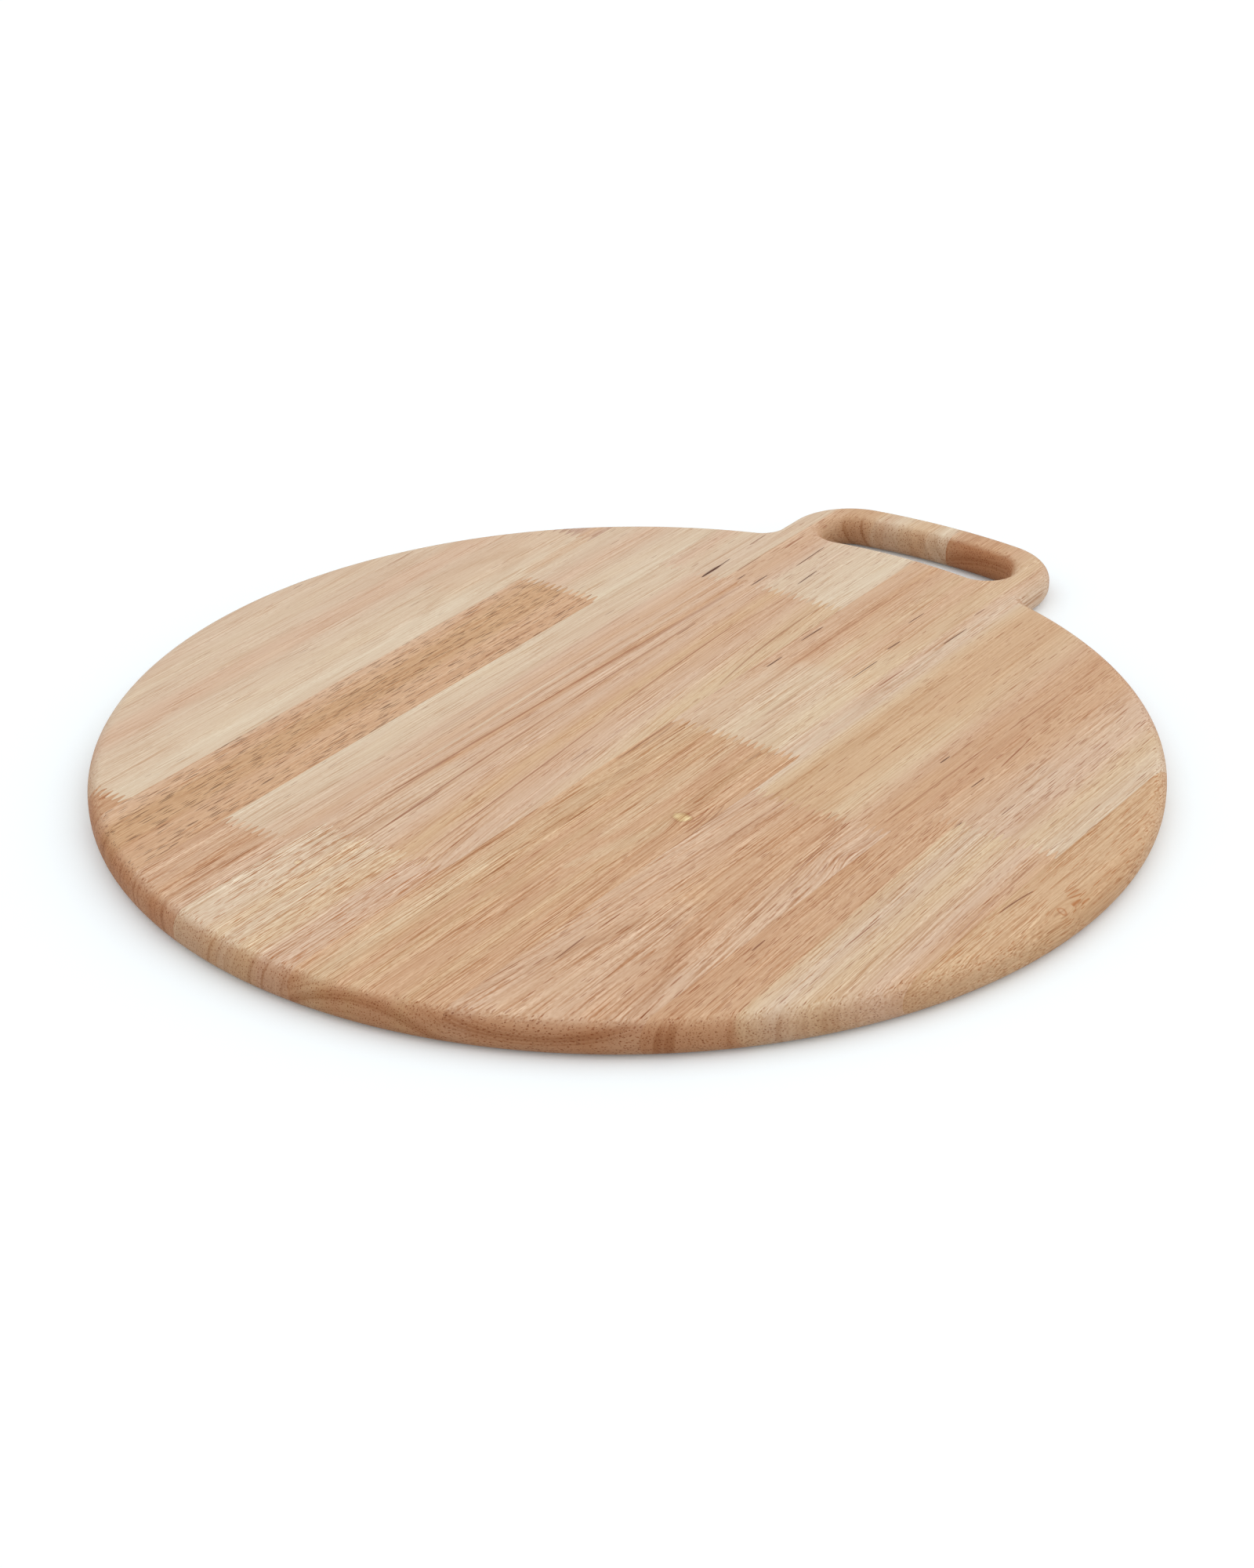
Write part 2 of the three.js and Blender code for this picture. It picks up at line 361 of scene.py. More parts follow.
blocks = {node: cut_block(node, plan) for node, plan in plans.items()}
for node, piece in blocks.items():
    print(node, len(piece.data.polygons), "faces")

# %% [markdown]
# Next come the materials. A few short helpers keep them readable: one adds a node and fills or links its
# inputs, some do sums in the tree of the sockets they are given, and one turns a colour as a painter
# would write it into Blender's linear light.

# %% Node helpers
def add(tree, kind, inputs=None, **settings):
    """A new shader node with its settings; each input gets a value, or a link where a socket is given."""
    node = tree.nodes.new(f"ShaderNode{kind}")
    for name, value in settings.items():
        setattr(node, name, value)
    for key, value in (inputs or {}).items():
        if isinstance(value, bpy.types.NodeSocket):
            tree.links.new(value, node.inputs[key])
        else:
            node.inputs[key].default_value = value
    return node


def calc(operation, *values):
    """A Math node on up to three values or sockets, in the tree that the first socket belongs to."""
    tree = next(value.id_data for value in values if isinstance(value, bpy.types.NodeSocket))
    return add(tree, "Math", dict(enumerate(values)), operation=operation).outputs[0]


def times(first, *others):
    """The product of two or more values, taken from left to right."""
    for other in others:
        first = calc("MULTIPLY", first, other)
    return first


def times_plus(value, factor, rest):
    """A product with something added to it."""
    return calc("MULTIPLY_ADD", value, factor, rest)


def minus(value, other):
    """A difference."""
    return calc("SUBTRACT", value, other)


def most(value, other):
    """The larger of two values."""
    return calc("MAXIMUM", value, other)


def scaled(vector, factors):
    """A vector with each of its parts multiplied by its own factor."""
    inputs = {0: vector, 1: factors}
    return add(vector.id_data, "VectorMath", inputs, operation="MULTIPLY").outputs[0]


def moved(vector, step):
    """A vector moved by another one."""
    return add(vector.id_data, "VectorMath", {0: vector, 1: step}, operation="ADD").outputs[0]


def joined(x, y, z=0.0):
    """A vector from its parts."""
    return add(x.id_data, "CombineXYZ", {0: x, 1: y, 2: z}).outputs[0]


def parts(vector):
    """The three parts of a vector."""
    return add(vector.id_data, "SeparateXYZ", {0: vector}).outputs


def tinted(factor, colour, tint, blend="MIX"):
    """One colour laid over another."""
    inputs = {"Factor": factor, 6: colour, 7: tint}
    mix = add(factor.id_data, "Mix", inputs, data_type="RGBA", blend_type=blend)
    return mix.outputs[2]


def ramp(value, low, high, low_out=0.0, high_out=1.0):
    """A smooth step from one value to another."""
    inputs = {"Value": value, "From Min": low, "From Max": high, "To Min": low_out, "To Max": high_out}
    return add(value.id_data, "MapRange", inputs, interpolation_type="SMOOTHSTEP").outputs[0]


def noise(vector, sizes, detail=1.0, roughness=0.5):
    """Fractal noise from 0 to 1, its lumps as large as the three sizes in millimetres."""
    near = scaled(vector, [1 / size for size in sizes])
    inputs = {"Vector": near, "Scale": 1.0, "Detail": detail, "Roughness": roughness}
    return add(vector.id_data, "TexNoise", inputs).outputs["Fac"]


def linear(hex_colour, alpha=1.0):
    """An sRGB colour such as "d6b795" as linear red, green, blue and alpha."""
    srgb = np.array([int(hex_colour[i : i + 2], 16) for i in (0, 2, 4)]) / 255
    light = np.where(srgb <= 0.04045, srgb / 12.92, ((srgb + 0.055) / 1.055) ** 2.4)
    return (*light.tolist(), alpha)


def new_group(name, numbers, outputs, colours=()):
    """An empty shader group: its tree, its inputs by label, and its output node."""
    group = bpy.data.node_groups.new(name, "ShaderNodeTree")
    rows = [(label, "Color", "INPUT") for label in colours] + [(label, "Float", "INPUT") for label in numbers]
    rows += [(label, "Color" if label == "Color" else "Float", "OUTPUT") for label in outputs]
    for label, kind, side in rows:
        group.interface.new_socket(label, in_out=side, socket_type=f"NodeSocket{kind}")
    given = group.nodes.new("NodeGroupInput").outputs
    value = {label: given[label] for label in (*colours, *numbers)}
    return group, value, group.nodes.new("NodeGroupOutput")


print("helpers ready")

# %% [markdown]
# Wood is a solid pattern, so every block looks its figure up in space and not on its skin: the same lines
# run over the top, round the edge and along the underside. The first group turns a place in the board
# into a place in the tree, in millimetres: across the stave, along the grain, down from the top face, and
# out from the pith, the middle of the tree, which lies above or below the board. The distance from the
# pith gives the growth rings: straight lines on the face, arcs on the sawn ends.

# %% Place in the tree
PER_MM = 1000.0
SEED_STEP = 137.3
SLOW_WANDER = (40, 150, 40)
QUICK_WANDER = (7, 38, 7)
QUICK_SHARE = 0.25
KNOT_SIDE_STEEPNESS = 3.0


def seed_vector(seed):
    """A far-off corner of the noise for each block, so that no two blocks show the same pattern."""
    far = times(seed, SEED_STEP)
    return joined(far, far, far)


def object_mm(tree):
    """The place in the board, in millimetres."""
    return scaled(add(tree, "TexCoord").outputs["Object"], (PER_MM,) * 3)


def make_place_group():
    """Side = x with a wander, parted round a knot; Across = Side leaned and fanned; Ring = from the pith."""
    numbers = ["Lean", "Fan", "Fan Centre", "Slant", "Wander", "Seed", "Pith Across", "Pith Height", "Taper",
               "Knot Across", "Knot Along", "Knot Width", "Knot Length", "Knot Part", "Knot Push"]
    outputs = ("Side", "Across", "Along", "Depth", "Ring")
    group, value, result = new_group("place_in_tree", numbers, outputs)
    board_mm = object_mm(group)
    x, along, z = parts(board_mm)
    depth = minus(THICKNESS * PER_MM, z)
    own = moved(board_mm, seed_vector(value["Seed"]))
    slow = minus(noise(own, SLOW_WANDER), 0.5)
    quick = minus(noise(own, QUICK_WANDER), 0.5)
    x = times_plus(times_plus(quick, QUICK_SHARE, slow), value["Wander"], x)
    beside = calc("DIVIDE", minus(x, value["Knot Across"]), value["Knot Width"])
    ahead = calc("DIVIDE", minus(along, value["Knot Along"]), value["Knot Length"])
    near = times_plus(beside, beside, times(ahead, ahead))
    near = calc("EXPONENT", times(near, -1.0))
    sided = calc("MINIMUM", most(times(beside, KNOT_SIDE_STEEPNESS), -1.0), 1.0)
    push = times_plus(sided, value["Knot Part"], value["Knot Push"])
    x = minus(x, times(near, push))
    fan = times(value["Fan"], along, minus(x, value["Fan Centre"]))
    across = times_plus(value["Lean"], along, calc("ADD", x, fan))
    across = times_plus(value["Slant"], depth, across)
    sideways = minus(across, value["Pith Across"])
    upwards = calc("ADD", depth, value["Pith Height"])
    squares = times_plus(sideways, sideways, times(upwards, upwards))
    ring = times_plus(value["Taper"], along, calc("SQRT", squares))
    for label, socket in zip(outputs, (x, across, along, depth, ring)):
        group.links.new(socket, result.inputs[label])
    return group


place_group = make_place_group()
print("group made:", place_group.name)

# %% [markdown]
# The second group is the wood itself. It starts from the broad colour bands of a block and lays over them
# what every piece of this wood shows: slow drifts of colour, a soft figure of lighter and darker growth,
# thin growth lines, fine streaks and threads, and pores. Beside every vessel and pore it also paints a
# thin pale rim, a painted highlight where light would catch the lip of the hollow. Pores are long thin
# tubes along the grain, so they show as dashes on the faces and as dots where the edge cuts across the
# grain. There the sawn end also shows smaller tubes, soaks up more oil, and is darker and redder. A
# two-way tint is a pale colour, a dark one, how far each spreads from the middle, and the untouched gap
# between them.

# %% Tints of the wood
TWO_WAY_TINTS = {
    "drift": ((1.015, 1.02, 1.0), (0.975, 0.945, 0.93), 0.24, 0.01),
    "figure": ((1.06, 1.085, 1.1), (0.83, 0.74, 0.66), 0.2, 0.01),
    "rings": ((1.05, 1.06, 1.06), (0.82, 0.72, 0.64), 0.16, 0.01),
    "streak": ((1.07, 1.09, 1.11), (0.88, 0.79, 0.72), 0.17, 0.01),
    "fibre": ((1.13, 1.165, 1.185), (0.74, 0.57, 0.45), 0.22, 0.06),
    "speck": ((1.06, 1.08, 1.10), (0.91, 0.85, 0.81), 0.2, 0.01),
}
TINTS = {
    "growth_line": (0.72, 0.56, 0.45, 1),
    # A painted highlight: the pale rim beside each vessel.
    "painted_vessel_highlight": (1.09, 1.12, 1.15, 1),
    "vessel": (0.52, 0.30, 0.18, 1),
    # A painted highlight: the pale rim round each pore.
    "painted_pore_highlight": (1.05, 1.07, 1.09, 1),
    "dot": (0.46, 0.29, 0.20, 1),
    "tube": (0.66, 0.48, 0.38, 1),
    "soaked": (0.75, 0.57, 0.45, 1),
}


def shaded(factor, colour, name):
    """A colour multiplied by a named tint, as far as the factor says."""
    return tinted(factor, colour, TINTS[name], "MULTIPLY")


def two_way(name, value, amount, colour):
    """Noise about one half: its low side multiplies by a pale tint, its high side by a dark one."""
    pale, dark, spread, gap = TWO_WAY_TINTS[name]
    low = times(ramp(value, 0.5 - gap, 0.5 - gap - spread), amount)
    high = times(ramp(value, 0.5 + gap, 0.5 + gap + spread), amount)
    colour = tinted(low, colour, (*pale, 1), "MULTIPLY")
    return tinted(high, colour, (*dark, 1), "MULTIPLY")


print("tints named:", len(TWO_WAY_TINTS) + len(TINTS))

# %% [markdown]
# The group is built in the order in which the layers lie. Sizes are in millimetres across the grain, along
# it and in depth. Vessels and pores have a width, a length and a shift of their cells, and a layer of
# pores also its strength. Lively is how much a block's streaks count at a place, and face is 1 on the
# flat faces and small on the sawn ends.

# %% The wood
THREAD_PITCH = 1.45
THREAD_SWAY = 2.8
TUBE_PITCH = 1.15
VESSEL_SIZE = (1.1, 62.0, 5.9)
PORE_LAYERS = (((0.88, 16.0, 3.1), 1.0), ((0.64, 10.0, 8.7), 0.85))
END_FIGURE = 1.15
END_RINGS = 0.3
END_PORES = 0.9
FACE_LOSS = 0.85


def pore_cells(vector, width, length, offset):
    """Stretched Voronoi cells: distance to each cell's own point, and three random numbers for each cell."""
    stretched = moved(scaled(vector, (1 / width, 1 / length, 1 / width)), (offset,) * 3)
    tree, inputs = vector.id_data, {"Vector": stretched, "Scale": 1.0}
    cells = add(tree, "TexVoronoi", inputs, voronoi_dimensions="3D").outputs
    return cells["Distance"], add(tree, "SeparateColor", {0: cells["Color"]}).outputs


def make_wood_group():
    """Bands x drift x figure x growth lines x streaks, then pores, each vessel and pore with a painted
    highlight beside it, then darker end grain; relief follows.
    """
    numbers = ["Share", "Across", "Along", "Depth", "Ring", "Seed", "Figure", "Lines", "Streaks", "Pores",
               "Pore Dark", "Ends"]
    group, value, result = new_group("oiled_wood", numbers, ("Color", "Roughness", "Height"),
                                     ("Bands", "Pore Tone"))
    away = seed_vector(value["Seed"])
    cell = moved(joined(value["Across"], value["Along"], value["Depth"]), away)
    shell = moved(joined(value["Ring"], value["Along"]), away)
    normal = add(group, "NewGeometry").outputs["Normal"]
    along_grain = calc("ABSOLUTE", parts(normal)[1])
    end_grain = ramp(along_grain, 0.15, 0.85)
    face = minus(1.0, times(end_grain, FACE_LOSS))

    colour = value["Bands"]
    drift = noise(cell, (13, 75, 13), 2.0)
    colour = two_way("drift", drift, 1.0, colour)
    figure = noise(shell, (3, 230, 1), 3.0, 0.6)
    amount = most(value["Figure"], times(end_grain, END_FIGURE))
    colour = two_way("figure", figure, amount, colour)
    wave = noise(shell, (4.2, 420, 1), 2.0, 0.55)
    ridge = calc("ABSOLUTE", minus(wave, 0.5))
    patch = ramp(noise(shell, (11, 80, 1)), 0.4, 0.62)
    line = times(ramp(ridge, 0.035, 0.003), patch, value["Lines"])
    colour = shaded(line, colour, "growth_line")
    colour = two_way("rings", figure, times(end_grain, END_RINGS), colour)

    busy = ramp(noise(cell, (6, 34, 6)), 0.28, 0.72, 0.5, 1.35)
    lively = times(value["Streaks"], face, busy)
    colour = two_way("streak", noise(cell, (1.1, 80, 1.1)), lively, colour)
    turn = calc("ADD", value["Across"], times(value["Depth"], 0.8))
    sway = noise(cell, (2.2, 75, 2.2))
    turn = times_plus(sway, THREAD_SWAY, times(turn, 1 / THREAD_PITCH))
    thread = calc("SINE", times(turn, 2 * math.pi))
    broken = ramp(noise(cell, (0.8, 20, 0.8)), 0.28, 0.6)
    fibre = times_plus(times(thread, broken), 0.3, 0.5)
    colour = two_way("fibre", fibre, lively, colour)
    colour = two_way("speck", noise(cell, (0.4, 2.5, 0.4), 0.0), lively, colour)
    distance, chances = pore_cells(cell, *VESSEL_SIZE)
    strength = times(ramp(chances[0], 0.1, 0.9), lively)
    # Painted highlight: a thin pale rim beside each vessel, as if light caught the lip of the groove.
    beside = times(ramp(distance, 0.2, 0.3), ramp(distance, 0.56, 0.38))
    colour = shaded(times(beside, strength), colour, "painted_vessel_highlight")
    vessel = times(ramp(distance, 0.22, 0.12), strength)
    colour = shaded(vessel, colour, "vessel")

    crowd = ramp(noise(cell, (5, 26, 5)), 0.3, 0.68, 0.4, 1.35)
    share = times(value["Pores"], value["Share"], crowd)
    share = most(share, times(end_grain, END_PORES))
    pore = beside = 0.0
    for size, depth in PORE_LAYERS:
        distance, chances = pore_cells(cell, *size)
        hit = calc("LESS_THAN", chances[0], share)
        reach = times_plus(chances[1], 0.13, times_plus(end_grain, -0.05, 0.24))
        tone = times_plus(chances[2], 0.4 * depth, 0.6 * depth)
        hole = ramp(distance, reach, times(reach, 0.6))
        pore = most(pore, times(hole, tone, hit))
        # Painted highlight: a thin pale rim round each pore, as if light caught the lip of the hollow.
        beside = most(beside, times(ramp(distance, 0.62, 0.42), hit))
    colour = shaded(times(beside, value["Pore Dark"], face), colour, "painted_pore_highlight")
    colour = tinted(times(pore, value["Pore Dark"], face), colour, value["Pore Tone"])
    dots = times(pore, end_grain, ramp(along_grain, 0.7, 1.0, 1.0, 0.5))
    colour = shaded(dots, colour, "dot")
    tubes = {"Vector": joined(value["Across"], value["Depth"]), "Scale": 1 / TUBE_PITCH}
    tubes = add(group, "TexVoronoi", tubes, voronoi_dimensions="2D")
    chance = add(group, "SeparateColor", {0: tubes.outputs["Color"]}).outputs[0]
    tube = times(ramp(tubes.outputs["Distance"], 0.3, 0.15), ramp(chance, 0.1, 0.9))
    colour = shaded(times(tube, end_grain), colour, "tube")
    colour = shaded(times(end_grain, value["Ends"]), colour, "soaked")

    rough = times_plus(pore, 0.2, times_plus(fibre, 0.2, 0.42))
    height = times_plus(pore, -1.0, times(fibre, -0.5))
    for label, socket in (("Color", colour), ("Roughness", rough), ("Height", height)):
        group.links.new(socket, result.inputs[label])
    return group


wood_group = make_wood_group()
print("group made:", wood_group.name)

# %% [markdown]
# Some lines are drawn by the tree itself: a single dark growth line, a pale one beside it, a resin streak.
# The third group draws one such line through the block. It runs from one place to another with a slight
# bend, is widest in its middle and fades at its ends, and is a little uneven along its way.

# %% A single line in the grain
def make_line_group():
    """Distance from a bent line between two places, within a width that swells to the middle of the line."""
    numbers = ["Across", "Along", "Uneven", "From Across", "From Along", "To Across", "To Along", "Bend",
               "Width"]
    group, value, result = new_group("grain_line", numbers, ["Mask"])
    run = minus(value["To Along"], value["From Along"])
    part = calc("DIVIDE", minus(value["Along"], value["From Along"]), run)
    swell = times(part, minus(1.0, part), 4.0)
    lean = minus(value["To Across"], value["From Across"])
    middle = times_plus(lean, part, value["From Across"])
    middle = times_plus(value["Bend"], swell, middle)
    off = calc("ABSOLUTE", minus(value["Across"], middle))
    width = times(value["Width"], calc("ADD", value["Uneven"], 0.35))
    width = times(width, calc("SQRT", most(swell, 0.0)))
    mask = ramp(minus(1.0, calc("DIVIDE", off, width)), 0.0, 0.9)
    mask = times(mask, ramp(swell, 0.0, 0.3))
    group.links.new(mask, result.inputs["Mask"])
    return group


line_group = make_line_group()
print("group made:", line_group.name)

# %% [markdown]
# A knot is the root of a twig. The grain parts round it, which the place group already does, and its eye
# shows small rings of its own. The fourth group draws the eye: a mask for the whole eye and one for the
# darker rings in it, on an ellipse that a little noise makes uneven.

# %% The eye of a knot
def make_eye_group():
    """Ellipse distance with noise on it: inside 1 is the eye, and a wave of that distance gives its rings."""
    numbers = ["Eye Across", "Eye Along", "Half Width", "Half Length", "Turns"]
    group, value, result = new_group("knot_eye", numbers, ["Eye", "Rings"])
    board_mm = object_mm(group)
    x, y, z = parts(board_mm)
    beside = calc("DIVIDE", minus(x, value["Eye Across"]), value["Half Width"])
    ahead = calc("DIVIDE", minus(y, value["Eye Along"]), value["Half Length"])
    away = calc("SQRT", times_plus(beside, beside, times(ahead, ahead)))
    uneven = minus(noise(board_mm, (2, 2, 6), 2.0), 0.5)
    away = times_plus(uneven, 0.9, away)
    wave = calc("COSINE", times(away, value["Turns"], 2 * math.pi))
    rings = times(ramp(wave, 0.1, -0.9), ramp(away, 1.4, 1.0))
    group.links.new(ramp(away, 1.1, 0.8), result.inputs["Eye"])
    group.links.new(rings, result.inputs["Rings"])
    return group


eye_group = make_eye_group()
print("group made:", eye_group.name)

# %% [markdown]
# Each block came from its own tree, so each gets its own bands: a short list of tones across the stave,
# in millimetres from the middle of the board, and a few numbers that say how lively its grain is. The
# tones have names, as on a colour card for this wood. A third entry in a band says how many of the
# block's pores it has. The pith is a place across and above the face. A knot is a place across and along,
# a width and a length, and how far the grain parts and is pushed there.

# %% Tones and bands of every block
TONES = {
    "ivory": "ddcbb2", "cream": "d9c3a9", "shell": "d6bea5", "straw": "d7bc9b", "blush": "d5b79d",
    "rose": "d2b092", "sand": "d1af8b", "tan": "cfa987", "clay": "cba381", "honey": "c9a27c",
    "russet": "c29774", "umber": "6e2c08", "rust": "8a4218", "char": "4e1e06",
    "dusk": "c3a591", "butter": "e6cfa0", "amber": "a85f22",
}
BLOCKS = {
    "stave_1_whole": dict(
        bands=[(-220, "shell"), (-205, "shell"), (-196, "cream"), (-190, "shell")],
        pith=(-120, 30), taper=0.03, lean=0.02, figure=0.45, lines=0.15, streaks=0.38, pores=0.03,
        pore_tone="umber"),
    "stave_2_front": dict(
        bands=[(-165, "tan"), (-140, "clay"), (-130, "tan")],
        pith=(-60, 10), figure=0.6, streaks=0.8, pores=0.3),
    "stave_2_middle": dict(
        bands=[(-189, "shell"), (-183, "shell"), (-178, "blush"), (-171, "blush"), (-165, "shell"),
               (-155, "cream"), (-146, "cream"), (-138, "ivory"), (-130, "cream")],
        pith=(-150, 34), taper=0.06, figure=0.35, lines=0.1, streaks=0.4, pores=0.03, pore_tone="umber"),
    "stave_2_handle_end": dict(
        bands=[(-165, "dusk"), (-141, "dusk"), (-136, "rose"), (-130, "dusk")],
        pith=(-60, 10), figure=0.6, streaks=0.52, pores=0.35),
    "stave_3_front": dict(
        bands=[(-130, "rose"), (-122, "tan"), (-118, "honey"), (-114, "honey"), (-107, "honey"),
               (-103, "tan"), (-88, "tan")],
        pith=(-40, 6), figure=0.45, lines=0.1, streaks=0.62, pores=0.95, pore_dark=0.95, pore_tone="char"),
    "stave_3_handle_end": dict(
        bands=[(-130, "cream"), (-122, "shell"), (-114, "blush"), (-105, "shell"), (-97, "cream"),
               (-88, "ivory")],
        pith=(-60, 20), taper=0.03, figure=0.4, lines=0.1, streaks=0.43, pores=0.03, pore_tone="umber"),
    "stave_4_front": dict(
        bands=[(-88, "rose"), (-75, "rose"), (-70, "clay"), (-64, "rose"), (-54, "blush")],
        pith=(0, 10), figure=0.6, lines=0.2, streaks=0.86, pores=0.4),
    "stave_4_middle": dict(
        bands=[(-88, "ivory"), (-84, "cream"), (-72, "cream"), (-67, "blush"), (-60, "rose"),
               (-54, "blush")],
        pith=(20, 20), figure=0.4, lines=0.25, streaks=0.43, pores=0.03, pore_tone="umber"),
    "stave_4_handle_end": dict(
        bands=[(-88, "shell"), (-81, "blush"), (-75, "cream"), (-66, "shell"), (-60, "shell"),
               (-54, "cream")],
        pith=(20, 20), figure=0.4, lines=0.15, streaks=0.37, pores=0.12),
    "stave_5_front": dict(
        bands=[(-54, "cream"), (-48, "cream"), (-40, "cream"), (-31, "straw"), (-26, "cream"),
               (-17, "straw"), (-12, "straw"), (-6, "blush"), (2, "blush"), (8, "rose")],
        pith=(-180, 30), lines=0.1, streaks=0.95, pores=0.8, pore_dark=0.95, pore_tone="amber", ends=0.8),
    "stave_5_middle": dict(
        bands=[(-54, "rose"), (-51, "blush"), (-46, "clay"), (-42, "blush"), (-36, "rose"), (-31, "blush"),
               (-26, "rose"), (-21, "sand"), (-14, "rose"), (-4, "blush"), (8, "straw")],
        fan=0.0018, fan_centre=-46, pith=(60, 30), wander=1.2, figure=0.45, lines=0.15, streaks=0.57,
        pores=0.1),
    "stave_5_handle_end": dict(
        bands=[(-54, "rose"), (-44, "rose"), (-37, "blush", 0.8), (-31, "cream", 0.6), (-26, "shell", 0.5),
               (-18, "cream", 0.4), (4, "ivory", 0.4), (8, "cream", 0.3)],
        pith=(60, 30), figure=0.4, lines=0.1, streaks=0.4, pores=0.5, ends=0.6),
    "stave_6_front": dict(
        bands=[(8, "tan"), (18, "straw"), (24, "sand"), (29, "tan"), (34, "sand"), (40, "tan"), (49, "tan"),
               (55, "sand"), (61, "tan"), (69, "tan")],
        pith=(38, -56), taper=0.05, knot=(59, -45, 5, 9, 0, -1.5), figure=0.55, lines=0.2, streaks=0.84,
        pores=0.15, ends=0.8),
    "stave_6_handle_end": dict(
        bands=[(8, "rose"), (16, "rose"), (20, "clay"), (26, "rose"), (35, "straw"), (41, "rose"),
               (52, "straw"), (57, "straw"), (61, "blush"), (66, "shell"), (70, "blush")],
        pith=(38, -90), taper=0.04, lines=0.25, streaks=0.58, pores=0.14, ends=1.35),
    "stave_7_front": dict(
        bands=[(70, "blush"), (79, "rose"), (86, "rose"), (95, "tan"), (102, "tan"), (110, "clay"),
               (118, "rose"), (132, "blush")],
        fan=0.002, fan_centre=100, pith=(102, 30), taper=0.08, knot=(126, -36, 7, 13, 0, -2.6), lines=0.15,
        streaks=0.8, pores=0.28, ends=0.95),
    "stave_7_handle_end": dict(
        bands=[(70, "shell"), (74, "straw"), (79, "sand"), (84, "sand"), (92, "sand"), (98, "sand"),
               (107, "straw"), (116, "rose"), (123, "tan"), (132, "clay")],
        pith=(100, 60), figure=0.4, lines=0.15, streaks=0.42, pores=0.32),
    "stave_8_front": dict(
        bands=[(132, "clay"), (139, "tan"), (146, "tan"), (149.5, "tan"), (151.5, "straw", 0.5),
               (160, "shell", 0.5), (170, "straw", 0.5), (184, "blush", 0.5), (188, "rose", 0.5),
               (195, "tan", 0.5)],
        lean=0.033, slant=-0.3, pith=(60, 20), figure=0.3, lines=0.25, streaks=0.66, pores=0.6, ends=0.85),
    "stave_8_handle_end": dict(
        bands=[(132, "clay"), (140, "tan"), (146, "tan"), (153, "rose", 0.9), (162, "blush", 0.8),
               (170, "blush", 0.8), (180, "straw", 0.6), (190, "cream", 0.4), (195, "cream", 0.4)],
        pith=(60, 20), figure=0.4, lines=0.15, streaks=0.55, pores=0.62),
    "stave_9_whole": dict(
        bands=[(194, "sand"), (203, "sand"), (209, "sand"), (220, "honey")],
        pith=(120, 20), knot=(215, -23, 5, 8, 2, 0), lines=0.2, streaks=0.7, pores=0.6, pore_tone="amber"),
}
print("blocks described:", len(BLOCKS))

# %% [markdown]
# The marks that tell one block from another are written the same way: where each line starts and ends,
# its width, tone and strength, and its bend if it has one. The wide ones are soft clouds of colour. A knot
# has its place, half width and half length, the turns of its rings, and tones for its eye and rings.

